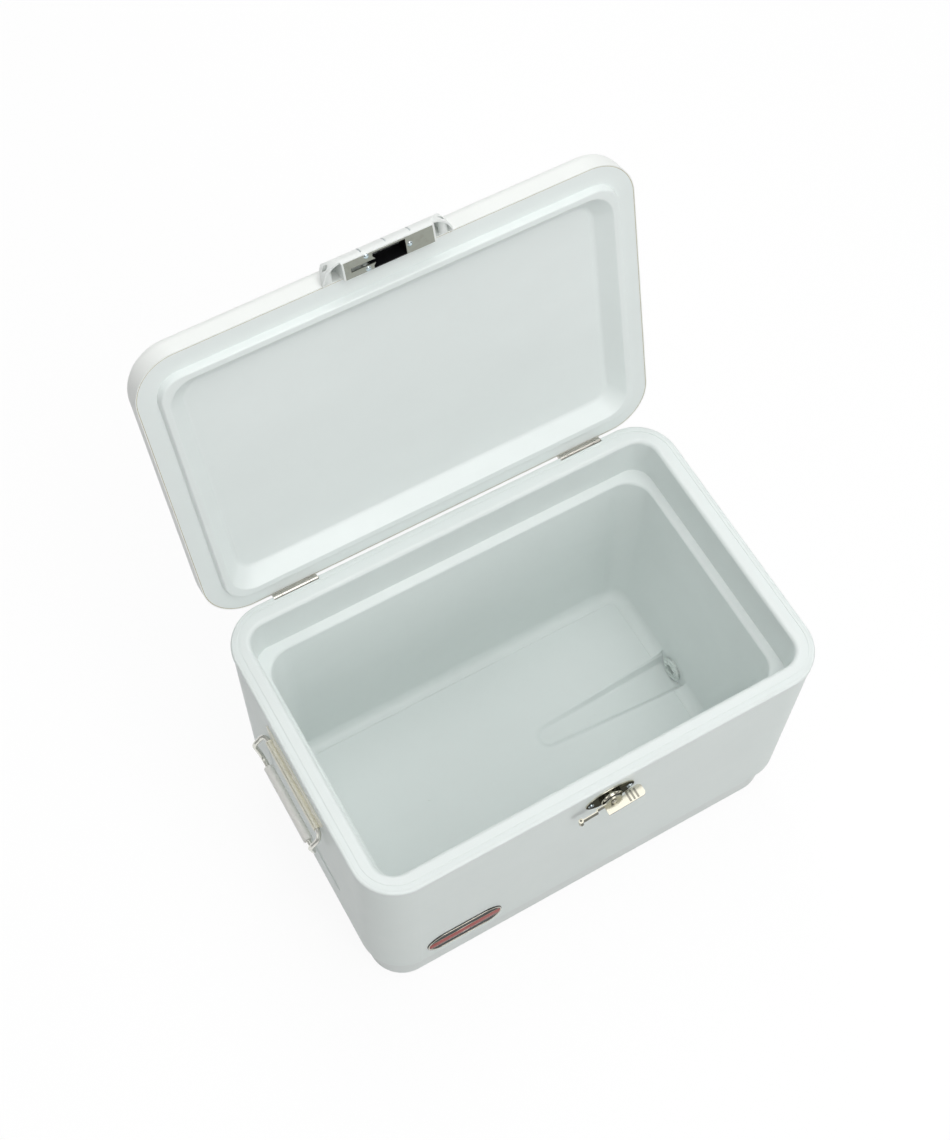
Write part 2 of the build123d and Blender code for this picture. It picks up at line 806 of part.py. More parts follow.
def housing_block(offset):
    """Outer form of the latch housing, or its inside when offset by the wall."""
    depth = housing_front - lid_y - offset
    rise = housing_rise - offset
    reach = ear_half_length - housing_flat_half - offset
    spring = lid_base - ear_drop
    wide = 2 * (housing_flat_half + reach)
    side = Pos(-lid_y, spring) * Ellipse(depth, rise)
    side += Pos(-lid_y, (spring + strike_z) / 2) * Rectangle(2 * depth, spring - strike_z)
    side &= Pos(-lid_y, strike_z + rise) * Rectangle(2 * depth, 2 * rise)
    plan = Pos(0, -lid_y) * Rectangle(2 * housing_flat_half, 2 * depth)
    front = Pos(0, spring) * Rectangle(2 * housing_flat_half, 2 * rise)
    for end in (-1, 1):
        plan += Pos(end * housing_flat_half, -lid_y) * Ellipse(reach, depth)
        front += Pos(end * housing_flat_half, spring) * Ellipse(reach, rise)
    front &= Pos(0, spring + rise / 2) * Rectangle(wide, rise)
    main_half = strike_half_length + housing_wall - offset
    front += Pos(0, (spring + strike_z) / 2) * Rectangle(2 * main_half, spring - strike_z)
    form = prism(Plane.YZ, side, -wide, wide) & prism(Plane.XY, plan, strike_z, spring + rise)
    return form & prism(Plane.XZ, front, 0, 2 * lid_y)


def strike_screw_places():
    """X and Y of the strike plate's screws."""
    return [(x, -lid_y - out) for x, out in strike_screws_at]


def latch_housing():
    outer = housing_block(0)
    top = lid_base + housing_rise
    part = outer - housing_block(housing_wall)
    for side in (-1, 1):
        inner_x = side * strike_half_length
        outer_x = side * (strike_half_length + housing_wall)
        wall = block(min(inner_x, outer_x), max(inner_x, outer_x), -housing_front, -lid_y, strike_z, top)
        screw_z = lid_base + ear_screw_rise
        boss = along_y(ear_boss_diameter / 2, -housing_front, -lid_y, side * ear_screw_x, screw_z)
        part += (wall + boss) & outer
    for x, y in strike_screw_places():
        post = Pos(x, y, strike_z) * extrude(Circle(post_diameter / 2), amount=top - strike_z)
        part += post & outer
    skin = outer - housing_block(housing_groove_depth)
    for i in (-1, 0, 1):
        x = i * housing_groove_pitch
        half = housing_groove_width / 2
        low = lid_base + housing_groove_bottom
        part -= skin & block(x - half, x + half, -housing_front, -lid_y, low, lid_base + housing_groove_top)
    part -= block(-ear_half_length, ear_half_length, -lid_y, 0, strike_z - clear, top + clear)
    rim_face = body_width / 2 + housing_clearance
    part -= block(-ear_half_length, ear_half_length, -rim_face, 0, strike_z - clear, lid_base)
    seat = strike_half_length
    part -= block(-seat, seat, -housing_front + housing_lip, 0, strike_z - clear, strike_z + strike_thickness)
    for side in (-1, 1):
        x = side * ear_screw_x
        z = lid_base + ear_screw_rise
        part -= along_y(ear_screw_shank / 2 + shank_clearance, -housing_front, -lid_y + clear, x, z)
        part -= along_y(ear_screw_head / 2 + shank_clearance, -housing_front, -lid_y - ear_screw_seat, x, z)
    return part


def strike_plate():
    top = strike_z + strike_thickness
    front = -housing_front + housing_lip
    back = -(body_width / 2 + housing_clearance)
    plate = block(-strike_half_length, strike_half_length, front, back, strike_z, top)
    inner = front + opening_front_strip
    plate -= block(opening_left, opening_right, inner, back + clear, strike_z - clear, top + clear)
    half = slot_width / 2
    slot_right = opening_left + clear
    plate -= block(slot_left, slot_right, -hook_y - half, -hook_y + half, strike_z - clear, top + clear)
    for side in (-1, 1):
        edge = -hook_y + side * half
        far = edge + side * slot_tongue_width
        root = opening_left - clear
        points = [(root, edge), (root, far), (opening_left, far), (opening_left + slot_tongue, edge)]
        plate += prism(Plane.XY, Polygon(*points, align=None), strike_z, top)
    for x, y in strike_screw_places():
        plate -= Pos(x, y, strike_z) * Cylinder(strike_screw_shank / 2, 4 * strike_thickness)
    return plate


def catch_insert():
    """Back and cheeks of the pocket behind the strike plate's opening."""
    back = -(body_width / 2 + housing_clearance)
    seat = strike_z + strike_thickness
    top = strike_z + insert_rise
    part = block(insert_left, insert_right, back - insert_wall, back, seat, top)
    left = opening_left + insert_fit
    right = opening_right - insert_fit
    part += block(left, right, back - insert_wall, back, strike_z, seat)
    part += block(insert_right - insert_wall, insert_right, back - insert_depth, back, seat, top)
    part += block(insert_left, insert_left + insert_wall, back - insert_return, back, seat, top)
    return part & housing_block(housing_wall + insert_fit)


def strike_plate_screws():
    screw = cross_head(strike_screw_head, strike_screw_height)
    shank = extrude(Circle(strike_screw_shank / 2), amount=strike_thickness)
    screw += Pos(0, 0, -strike_thickness) * shank
    return Compound([Pos(x, y, strike_z) * Rot(180, 0, 0) * screw for x, y in strike_screw_places()])


def housing_screws():
    screw = cross_head(ear_screw_head, hinge_screw_height)
    screw += Pos(0, 0, -ear_screw_seat) * extrude(Circle(ear_screw_shank / 2), amount=ear_screw_seat)
    seat = -lid_y - ear_screw_seat
    z = lid_base + ear_screw_rise
    return Compound([Pos(x, seat, z) * Rot(90, 0, 0) * screw for x in (-ear_screw_x, ear_screw_x)])


def at_handle(side, part):
    """Places a part drawn about the bail's axis, with +X pointing out of the body."""
    return Pos(side * tube_x, 0, tube_z) * Rot(0, 0, 0 if side > 0 else 180) * part


def handle_bracket(side):
    """Rolled tube that carries the bail, and the riveted plate above it."""
    half = tube_length / 2
    outline = Polygon(
        (-half, 0), (half, 0), (bracket_top_half, bracket_rise), (-bracket_top_half, bracket_rise), align=None
    )
    outline = fillet([v for v in outline.vertices() if v.Y > bracket_rise / 2], bracket_corner)
    plate = prism(Plane.YZ, outline, -tube_radius, -tube_radius + bracket_sheet)
    part = along_y(tube_radius, -half, half) + plate
    far = half + clear
    part -= along_y(tube_bore, -far, far)
    slit = block(0, 2 * tube_radius, -far, far, -tube_seam_width / 2, tube_seam_width / 2)
    return at_handle(side, part - Rot(0, -tube_seam_angle, 0) * slit)


def bracket_rivets(side):
    head = Rot(0, 90, 0) * dome_head(bracket_rivet_head, bracket_rivet_height)
    rivets = []
    for i in range(bracket_rivet_count):
        y = bracket_rivet_spacing * (i - (bracket_rivet_count - 1) / 2)
        rivets.append(at_handle(side, Pos(-tube_radius + bracket_sheet, y, bracket_rivet_rise) * head))
    return Compound(rivets)


def bail(side):
    """Wire handle: ends in the bracket's tube, a bulge at each side and the line under the grip."""
    half_path = [
        (0, bail_end_y, 0), (0, bail_half_width, 0), (bulge_out, bail_half_width, -bulge_drop),
        (grip_out, grip_line_half, -grip_drop),
    ]
    points = half_path + [(x, -y, z) for x, y, z in reversed(half_path)]
    path = FilletPolyline(*points, radius=bail_bend_radius)
    section = Plane(origin=points[0], z_dir=(0, 1, 0)) * Circle(bail_wire / 2)
    return at_handle(side, sweep(section, path=path))


def grip(side):
    half = grip_length / 2
    tube = fillet(along_y(grip_diameter / 2, -half, half).edges().filter_by(GeomType.CIRCLE), grip_end_round)
    tube -= along_y(tube_bore, -half - clear, half + clear)
    return at_handle(side, Pos(grip_out, 0, -grip_drop) * tube)


def badge():
    plate = extrude(SlotOverall(badge_length, badge_height), amount=badge_thickness)
    plate = fillet(level_edges(plate, badge_thickness), badge_round)
    return Pos(badge_x, -belt_y, badge_z) * Rot(90, 0, 0) * plate


def build():
    """Every named piece, in place, with the lid open on its stop."""
    body_screw_z = hinge_axis_z - body_leaf_height + leaf_screw_drop
    lid_screw_z = lid_base + leaf_screw_drop
    parts = {
        "body_shell": body_shell(),
        "base_pan": base_pan(),
        "body_foam": body_foam(),
        "liner": liner(),
        "drain_flange": drain_flange(),
        "drain_gasket": drain_gasket(),
        "drain_tube": drain_tube(),
        "drain_nut": drain_nut(),
        "drain_cap": drain_cap(),
        "cap_washer": cap_washer(),
        "badge": badge(),
        "latch_plate": latch_plate(),
        "latch_plate_screws": latch_plate_screws(),
        "latch_pivot": latch_pivot(),
        "latch_lever": latch_lever(),
        "hinge_pins": hinge_pins(),
        "hinge_body_screws": hinge_screws(belt_y + leaf_thickness, body_screw_z),
        "hinge_lid_screws": opened(hinge_screws(lid_y + leaf_thickness, lid_screw_z)),
        "lid_shell": opened(lid_shell()),
        "lid_foam": opened(lid_foam()),
        "lid_liner": opened(lid_liner()),
        "latch_housing": opened(latch_housing()),
        "strike_plate": opened(strike_plate()),
        "strike_plate_screws": opened(strike_plate_screws()),
        "catch_insert": opened(catch_insert()),
        "housing_screws": opened(housing_screws()),
    }
    for side, name in ((-1, "left"), (1, "right")):
        parts["hinge_body_leaf_" + name] = hinge_body_leaf(side)
        parts["hinge_lid_leaf_" + name] = opened(hinge_lid_leaf(side))
        parts["handle_bracket_" + name] = handle_bracket(side)
        parts["bracket_rivets_" + name] = bracket_rivets(side)
        parts["bail_" + name] = bail(side)
        parts["grip_" + name] = grip(side)
    return parts


os.makedirs("parts", exist_ok=True)
for name, shape in build().items():
    export_step(shape, "parts/" + name + ".step")
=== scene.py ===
import json
import math

import bpy
from mathutils import Matrix, Vector


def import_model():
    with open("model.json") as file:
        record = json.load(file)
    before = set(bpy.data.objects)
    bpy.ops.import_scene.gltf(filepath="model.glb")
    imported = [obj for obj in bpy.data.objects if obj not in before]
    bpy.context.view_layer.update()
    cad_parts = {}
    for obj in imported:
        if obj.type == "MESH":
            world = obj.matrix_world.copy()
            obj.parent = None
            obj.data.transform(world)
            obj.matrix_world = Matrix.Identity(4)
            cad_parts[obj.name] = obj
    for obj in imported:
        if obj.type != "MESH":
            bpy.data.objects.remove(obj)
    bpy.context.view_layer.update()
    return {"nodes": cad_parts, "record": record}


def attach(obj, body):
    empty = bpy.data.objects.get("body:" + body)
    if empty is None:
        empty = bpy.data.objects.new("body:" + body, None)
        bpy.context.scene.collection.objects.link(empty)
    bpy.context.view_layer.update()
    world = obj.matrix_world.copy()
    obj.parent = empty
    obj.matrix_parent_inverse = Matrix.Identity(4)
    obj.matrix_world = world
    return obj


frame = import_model()
nodes = frame["nodes"]

# Metres, in the frame of the CAD model: +X drain end, -Y latch side, +Z up, lid open at rest.

# The lid, as it lies when shut, and its hinge
LID_BASE = 0.3554
LID_LENGTH = 0.582
LID_WIDTH = 0.380
LID_CORNER = 0.052
HINGE_Y = 0.1908
HINGE_Z = 0.3503
OPEN_ANGLE = math.radians(105.6)
LID_OPEN = (
    Matrix.Translation((0, HINGE_Y, HINGE_Z))
    @ Matrix.Rotation(-OPEN_ANGLE, 4, "X")
    @ Matrix.Translation((0, -HINGE_Y, -HINGE_Z))
)

# Line of sealant in the lid's seam
SEAM_INSET = 0.00130
SEAM_RISE = 0.00042
SEAM_HALF_WIDTH = 0.00042
SEAM_HALF_HEIGHT = 0.00034
SEAM_SIDES = 8

# Grooves of the housing on the shut lid, and the pocket of the catch, an arch in section
GROOVE_PITCH = 0.028
GROOVE_HALF = 0.0007
GROOVE_LOW = LID_BASE - 0.0035
POCKET_DEPTH = 0.0223
POCKET_RISE = 0.0225
POCKET_SPRING = 0.3514
POCKET_LEFT = -0.0210
POCKET_RIGHT = 0.0205

# Ribs on the latch lever, measured along it from its pivot
LATCH_Z = 0.3205
LEVER_TILT = math.radians(7.6)
RIB_MIDDLES = (0.0170, 0.0218, 0.0266)
RIB_HALF = 0.0011
RIBS_FRONT = -0.2079
RIBS_BACK = -0.1959

# Badge on the belt's front, and the bands on its face
BELT_FRONT = -0.190
BADGE_X = -0.181
BADGE_Z = 0.112
BADGE_LENGTH = 0.100
BADGE_HEIGHT = 0.046
BADGE_THICKNESS = 0.0012
BADGE_FACE = BELT_FRONT - BADGE_THICKNESS
BAND_INSET = 0.0026
BAND_PROUD = 0.00035
BAND_SUNK = 0.0002
BAND_EDGE = 0.00015
BAND_STEPS = 12
RED_HALF = 0.0066
LINE_FROM = 0.0078
LINE_TO = 0.0088

CORNER_STEPS = 16

# How far the bumps of each finish rise
ENAMEL_PEEL = 0.00002
BADGE_PEEL = 0.00001
PLASTIC_GRAIN = 0.000012
HOUSING_GRAIN = 0.00001
METAL_GRAIN = 0.000001
RUBBER_GRAIN = 0.00002
FOAM_CELLS = 0.0002

ENAMEL_IOR = 1.5
PLASTIC_IOR = 1.49

# Colours
WHITE = (0.805, 0.87, 0.845)
# Painted light: the lid's enamel is the belt's white, made lighter where more light falls on the lid
LID_WHITE_PAINTED_LIGHTER = (0.905, 0.93, 0.905)
LINER = (0.79, 0.84, 0.825)
BASE = (0.79, 0.84, 0.82)
DRAIN = (0.74, 0.80, 0.77)
HOUSING = (0.84, 0.87, 0.85)
# Painted shade for the housing's grooves
GROOVE_SHADE = (0.56, 0.61, 0.63)
POCKET = (0.006, 0.006, 0.007)
INSERT = (0.008, 0.008, 0.009)
GRIP = (0.97, 0.965, 0.925)
SEALANT = (0.50, 0.44, 0.29)
FOAM = (0.86, 0.78, 0.55)
SEAL = (0.020, 0.020, 0.020)
GASKET = (0.50, 0.53, 0.51)
BADGE_DARK = (0.016, 0.017, 0.017)
BADGE_RED = (0.40, 0.075, 0.065)
NICKEL = (0.46, 0.44, 0.375)
STAINLESS = (0.56, 0.54, 0.49)
ZINC = (0.60, 0.68, 0.71)
STRIKE = (0.36, 0.375, 0.33)
HUB = (0.62, 0.60, 0.50)
# Painted shade for the hub's flat faces to front and back
HUB_FACE_SHADE = (0.020, 0.020, 0.018)
HUB_EDGE = (0.45, 0.45, 0.42)
LEVER = (0.60, 0.58, 0.49)
# Painted shade for the lever's flat faces to front and back
LEVER_FACE_SHADE = (0.11, 0.108, 0.09)
LEVER_EDGE = (0.7, 0.7, 0.66)
BRACKET = (0.97, 0.955, 0.83)
WIRE = (0.82, 0.82, 0.76)
TARNISH = (0.20, 0.19, 0.15)


# Materials

def shade(color, amount):
    return tuple(min(1.0, c * amount) for c in color)


class Tree:
    """Short calls for the nodes of one material or world."""

    def __init__(self, owner):
        owner.use_nodes = True
        self.nodes = owner.node_tree.nodes
        self.links = owner.node_tree.links

    def add(self, kind, **settings):
        node = self.nodes.new(kind)
        for key, value in settings.items():
            setattr(node, key, value)
        return node

    def put(self, value, socket):
        """Links an output to a socket, or sets the socket to a value."""
        if isinstance(value, bpy.types.NodeSocket):
            self.links.new(value, socket)
        else:
            socket.default_value = value

    def axes(self, vector):
        """The outputs X, Y and Z of a vector."""
        split = self.add("ShaderNodeSeparateXYZ")
        self.put(vector, split.inputs["Vector"])
        return split.outputs

    def span(self, value, low, high, start=0.3, end=0.7, interpolation="LINEAR"):
        """Maps a value from start..end to low..high."""
        node = self.add("ShaderNodeMapRange", interpolation_type=interpolation)
        for key, number in (("From Min", start), ("From Max", end), ("To Min", low), ("To Max", high)):
            self.put(number, node.inputs[key])
        self.put(value, node.inputs["Value"])
        return node.outputs["Result"]

    def math(self, operation, *values):
        """Maths on one or two values, each a number or an output."""
        node = self.add("ShaderNodeMath", operation=operation)
        for value, socket in zip(values, node.inputs):
            self.put(value, socket)
        return node.outputs["Value"]

    def white(self, kind, strength):
        """White light of a strength that is a number or an output."""
        node = self.add(kind)
        self.put((1, 1, 1, 1), node.inputs["Color"])
        self.put(strength, node.inputs["Strength"])
        return node.outputs[0]

    def surface(self, kind, factor, first, second):
        """Ends the tree in an output of a kind, with a mix of two shaders."""
        mixed = self.add("ShaderNodeMixShader")
        for value, socket in zip((factor, first, second), mixed.inputs):
            self.put(value, socket)
        self.put(mixed.outputs[0], self.add(kind).inputs["Surface"])


class Finish(Tree):
    """A new material with its Principled shader, and short calls for the nodes that feed it."""

    def __init__(self, name):
        self.material = bpy.data.materials.new(name)
        super().__init__(self.material)
        self.shader = self.nodes["Principled BSDF"]
        self.coords = self.add("ShaderNodeTexCoord").outputs
        self.place = self.coords["Object"]

    def stretched(self, scale):
        """The object's own coordinates, scaled along each axis."""
        mapping = self.add("ShaderNodeMapping")
        self.put(scale, mapping.inputs["Scale"])
        self.put(self.place, mapping.inputs["Vector"])
        return mapping.outputs["Vector"]

    def noise(self, scale, detail, vector=None, roughness=0.5):
        node = self.add("ShaderNodeTexNoise")
        self.put(scale, node.inputs["Scale"])
        self.put(detail, node.inputs["Detail"])
        self.put(roughness, node.inputs["Roughness"])
        self.put(vector or self.place, node.inputs["Vector"])
        return node.outputs["Fac"]

    def mix(self, factor, a, b):
        """Mix of two colours, each a colour or an output."""
        node = self.add("ShaderNodeMix", data_type="RGBA")
        self.put(factor, node.inputs["Factor"])
        for key, value in (("A", a), ("B", b)):
            socket = [s for s in node.inputs if s.name == key and s.type == "RGBA"][0]
            self.put((*value, 1.0) if isinstance(value, tuple) else value, socket)
        return [s for s in node.outputs if s.type == "RGBA"][0]

    def shades(self, value, color, low, high):
        """A colour that a noise moves between two of its shades."""
        return self.mix(self.span(value, 0.0, 1.0), shade(color, low), shade(color, high))

    def both(self, first, second):
        """1 where two masks are 1, else 0."""
        return self.math("MULTIPLY", first, second)

    def between(self, value, low, high):
        """1 where a value lies between two numbers, else 0."""
        return self.both(self.math("GREATER_THAN", value, low), self.math("LESS_THAN", value, high))

    def bars(self, value, middles, half):
        """1 where a value is within half of one of the middles, else 0."""
        total = 0.0
        for middle in middles:
            distance = self.math("ABSOLUTE", self.math("SUBTRACT", value, middle))
            total = self.math("MAXIMUM", total, self.math("LESS_THAN", distance, half))
        return total

    def bump(self, height, distance):
        node = self.add("ShaderNodeBump")
        self.put(1.0, node.inputs["Strength"])
        self.put(distance, node.inputs["Distance"])
        self.put(height, node.inputs["Height"])
        self.put(node.outputs["Normal"], self.shader.inputs["Normal"])

    def look(self, color, roughness, **others):
        """Feeds the shader; others are more of its inputs, with _ for a space in a name."""
        self.put(color, self.shader.inputs["Base Color"])
        self.put(roughness, self.shader.inputs["Roughness"])
        for key, value in others.items():
            self.put(value, self.shader.inputs[key.replace("_", " ")])


def painted(name, color, roughness, peel=ENAMEL_PEEL, specular=0.25):
    """Sprayed enamel: a faint orange peel, and a film whose gloss and shade wander a little."""
    n = Finish(name)
    broad = n.noise(7.0, 3.0)
    fine = n.noise(60.0, 4.0)
    gloss = n.span(fine, roughness - 0.03, roughness + 0.06)
    n.look(n.shades(broad, color, 0.985, 1.012), gloss, Specular_IOR_Level=specular, IOR=ENAMEL_IOR)
    n.bump(n.noise(320.0, 2.0), peel)
    return n.material


def moulded(name, color, roughness, cloud=0.015):
    """Injection-moulded plastic: fine grain from the tool, faint flow clouds and rub marks."""
    n = Finish(name)
    flow = n.noise(5.0, 4.0, n.stretched((1.0, 1.6, 2.2)))
    marks = n.noise(45.0, 5.0, roughness=0.6)
    clouded = n.shades(flow, color, 1.0 - cloud, 1.0 + cloud)
    rubbed = n.mix(n.span(marks, 0.0, 0.4, start=0.5, end=0.8), clouded, shade(color, 0.985))
    n.look(rubbed, n.span(marks, roughness - 0.05, roughness + 0.08), IOR=PLASTIC_IOR)
    n.bump(n.noise(1300.0, 2.0), PLASTIC_GRAIN)
    return n.material


def metal(name, color, roughness, grain=(60.0, 60.0, 60.0), tarnish=0.1):
    """Bare or plated metal: brushed or rolled grain, and a little tarnish."""
    n = Finish(name)
    streaks = n.noise(6.0, 5.0, n.stretched(grain), roughness=0.65)
    stains = n.span(n.noise(140.0, 4.0), 0.0, tarnish, start=0.5, end=0.75)
    stained = n.mix(stains, n.shades(streaks, color, 0.94, 1.05), TARNISH)
    n.look(stained, n.span(streaks, roughness - 0.05, roughness + 0.09), Metallic=1.0)
    n.bump(streaks, METAL_GRAIN)
    return n.material


def rib_mask(n):
    """1 on the ribs of the latch lever, else 0."""
    place = n.axes(n.place)
    level = n.math("MULTIPLY", place["X"], math.cos(LEVER_TILT))
    rise = n.math("MULTIPLY", n.math("SUBTRACT", place["Z"], LATCH_Z), math.sin(LEVER_TILT))
    on_rib = n.bars(n.math("ADD", level, rise), RIB_MIDDLES, RIB_HALF)
    return n.both(on_rib, n.between(place["Y"], RIBS_FRONT, RIBS_BACK))


def pressed_metal(name, color, face, roughness, edge, ribbed=False):
    """Plated stamping with painted shade: the flat faces to front and back take a darker painted colour, and
    the edges and turned surfaces the bright one.

    edge is how much of the light a grazing look still finds. A ribbed one takes painted shade on its ribs.
    """
    n = Finish(name)
    streaks = n.noise(6.0, 5.0, n.stretched((8.0, 60.0, 60.0)), roughness=0.6)
    bright = n.shades(streaks, color, 0.96, 1.04)
    # Painted shade: the flat faces to front and back, found by the normal, take the darker colour
    painted_face_shade = n.shades(n.noise(90.0, 4.0), face, 0.8, 1.25)
    facing = n.math("ABSOLUTE", n.axes(n.coords["Normal"])["Y"])
    plated = n.mix(n.span(facing, 0.0, 1.0, start=0.55, end=0.95), bright, painted_face_shade)
    # Painted shade on the lever's ribs
    if ribbed:
        plated = n.mix(rib_mask(n), plated, shade(color, 0.42))
    gloss = n.span(streaks, roughness - 0.04, roughness + 0.06)
    n.look(plated, gloss, Metallic=1.0, Specular_Tint=(*edge, 1.0))
    n.bump(streaks, METAL_GRAIN)
    return n.material


def satin_metal(name, color, roughness, metallic):
    """Rolled sheet or wire with a soft plated finish and a faint drawn grain."""
    n = Finish(name)
    grain = n.noise(7.0, 4.0, n.stretched((60.0, 6.0, 60.0)))
    cloud = n.span(n.noise(30.0, 3.0), 0.0, 0.5)
    clouded = n.mix(cloud, n.shades(grain, color, 0.97, 1.03), shade(color, 0.92))
    n.look(clouded, n.span(grain, roughness - 0.05, roughness + 0.05), Metallic=metallic)
    n.bump(grain, METAL_GRAIN)
    return n.material


def pocket_mask(n, shut):
    """1 in the pocket of the catch, else 0, from the outputs X, Y and Z of a place on the shut lid."""
    forward = n.math("DIVIDE", n.math("SUBTRACT", -LID_WIDTH / 2, shut["Y"]), POCKET_DEPTH)
    above = n.math("MAXIMUM", n.math("SUBTRACT", shut["Z"], POCKET_SPRING), 0.0)
    upward = n.math("DIVIDE", above, POCKET_RISE)
    reach = n.math("ADD", n.math("POWER", forward, 2.0), n.math("POWER", upward, 2.0))
    return n.both(n.math("LESS_THAN", reach, 1.0), n.between(shut["X"], POCKET_LEFT, POCKET_RIGHT))


def pocketed(name, color, groove_shade, pocket):
    """Moulded plastic of the housing, with painted shade in its grooves, and black in the pocket of the
    catch.
    """
    n = Finish(name)
    turn = n.add("ShaderNodeVectorRotate", rotation_type="X_AXIS")
    n.put((0, HINGE_Y, HINGE_Z), turn.inputs["Center"])
    n.put(OPEN_ANGLE, turn.inputs["Angle"])
    n.put(n.place, turn.inputs["Vector"])
    shut = n.axes(turn.outputs["Vector"])
    clouded = n.shades(n.noise(9.0, 4.0), color, 0.99, 1.01)
    # Painted shade along the grooves
    groove_shade_mask = n.bars(shut["X"], (-GROOVE_PITCH, 0.0, GROOVE_PITCH), GROOVE_HALF)
    groove_shade_mask = n.both(groove_shade_mask, n.math("GREATER_THAN", shut["Z"], GROOVE_LOW))
    lined = n.mix(pocket_mask(n, shut), n.mix(groove_shade_mask, clouded, groove_shade), pocket)
    n.look(lined, n.span(n.noise(50.0, 4.0), 0.28, 0.38), IOR=PLASTIC_IOR)
    n.bump(n.noise(1300.0, 2.0), HOUSING_GRAIN)
    return n.material


def rubber(name, color):
    """Matt rubber with a powdery bloom."""
    n = Finish(name)
    bloom = n.noise(220.0, 4.0)
    n.look(n.shades(bloom, color, 1.0, 1.6), n.span(bloom, 0.6, 0.8))
    n.bump(n.noise(1500.0, 2.0), RUBBER_GRAIN)
    return n.material


def foamed(name, color):
    """Rigid foam with its small closed cells."""
    n = Finish(name)
    cells = n.add("ShaderNodeTexVoronoi")
    n.put(500.0, cells.inputs["Scale"])
    n.put(n.place, cells.inputs["Vector"])
    cell = cells.outputs["Distance"]
    shaded = n.mix(n.span(cell, 0.0, 1.0, start=0.0, end=0.6), shade(color, 0.8), color)
    n.look(shaded, n.span(cell, 0.7, 0.95, start=0.0, end=0.6))
    n.bump(cell, FOAM_CELLS)
    return n.material


materials = {
    "belt_paint": painted("belt_enamel", WHITE, 0.38),
    # The lid's enamel: the belt's paint made lighter, as painted light
    "lid_paint": painted("lid_enamel_painted_lighter", LID_WHITE_PAINTED_LIGHTER, 0.38),
    "liner_plastic": moulded("liner_satin", LINER, 0.36),
    # The lid's liner: the liner's plastic made lighter, as painted light
    "lid_plastic": moulded("lid_satin_painted_lighter", shade(LINER, 1.08), 0.36),
    "base_plastic": moulded("base_moulding", BASE, 0.42),
    "foam": foamed("rigid_foam", FOAM),
    "drain_plastic": moulded("drain_moulding", DRAIN, 0.40),
    "seal_rubber": rubber("seal_rubber", SEAL),
    "badge_enamel": painted("badge_dark", BADGE_DARK, 0.42, peel=BADGE_PEEL, specular=0.10),
    "badge_red": painted("badge_red", BADGE_RED, 0.42, peel=BADGE_PEEL, specular=0.15),
    "nickel": metal("nickel_plate", NICKEL, 0.15, tarnish=0.05),
    "hinge_steel": metal("hinge_stainless", STAINLESS, 0.26, grain=(8.0, 90.0, 90.0)),
    "screw_steel": metal("zinc_screw", ZINC, 0.24, tarnish=0.2),
    "housing_plastic": pocketed("housing_moulding", HOUSING, GROOVE_SHADE, POCKET),
    "insert_plastic": moulded("insert_moulding", INSERT, 0.30, cloud=0.2),
    "gasket_rubber": rubber("gasket_rubber", GASKET),
    "hub_nickel": pressed_metal("hub_nickel", HUB, HUB_FACE_SHADE, 0.13, HUB_EDGE),
    "lever_nickel": pressed_metal("lever_nickel", LEVER, LEVER_FACE_SHADE, 0.16, LEVER_EDGE, ribbed=True),
    "bracket_nickel": satin_metal("bracket_nickel", BRACKET, 0.36, 0.10),
    "wire_nickel": satin_metal("wire_nickel", WIRE, 0.20, 0.70),
    "strike_steel": metal("strike_sheet", STRIKE, 0.42, grain=(10.0, 60.0, 60.0), tarnish=0.25),
    "grip_plastic": moulded("grip_tube", GRIP, 0.30, cloud=0.01),
    "seam_putty": moulded("seam_sealant", SEALANT, 0.55),
}

# A node takes the material of its slot in the record, or a finer one of the same kind; the lid's shell and
# liner take copies painted lighter (painted light), and the latch's plate and lever carry painted shade on
# their flat faces.
finer = {
    "lid_shell": "lid_paint",
    "lid_liner": "lid_plastic",
    "latch_plate": "hub_nickel",
    "latch_lever": "lever_nickel",
}
for side in ("left", "right"):
    finer[f"handle_bracket_{side}"] = "bracket_nickel"
    finer[f"bracket_rivets_{side}"] = "bracket_nickel"
    finer[f"bail_{side}"] = "wire_nickel"

slots = {p["node"]: p["material_slot"] for p in frame["record"]["subparts"]}
for name, obj in nodes.items():
    obj.data.materials.clear()
    obj.data.materials.append(materials[finer.get(name, slots[name])])


# Pieces that the CAD model leaves to the scene

def rounded(length, width, radius):
    """Corner points of a rounded rectangle, counter-clockwise."""
    points = []
    for sx, sy, start in ((1, 1, 0), (-1, 1, 90), (-1, -1, 180), (1, -1, 270)):
        cx = sx * (length / 2 - radius)
        cy = sy * (width / 2 - radius)
        for i in range(CORNER_STEPS + 1):
            a = math.radians(start + 90 * i / CORNER_STEPS)
            points.append((cx + radius * math.cos(a), cy + radius * math.sin(a)))
    return points


def band(name, rings, closed_section, material, body, place=Matrix.Identity(4)):
    """A piece lofted between rings of the same count; each ring is a list of points.

    A closed section joins the last ring to the first; else both are filled in.
    """
    count = len(rings[0])
    last = len(rings) - 1
    faces = []
    for i in range(len(rings) if closed_section else last):
        j = (i + 1) % len(rings)
        for k in range(count):
            m = (k + 1) % count
            faces.append((i * count + k, i * count + m, j * count + m, j * count + k))
    if not closed_section:
        faces.append(tuple(reversed(range(count))))
        faces.append(tuple(range(last * count, len(rings) * count)))
    mesh = bpy.data.meshes.new(name)
    mesh.from_pydata([place @ Vector(p) for ring in rings for p in ring], [], faces)
    mesh.polygons.foreach_set("use_smooth", [True] * len(mesh.polygons))
    mesh.update()
    obj = bpy.data.objects.new(name, mesh)
    bpy.context.scene.collection.objects.link(obj)
    mesh.materials.append(materials[material])
    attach(obj, body)


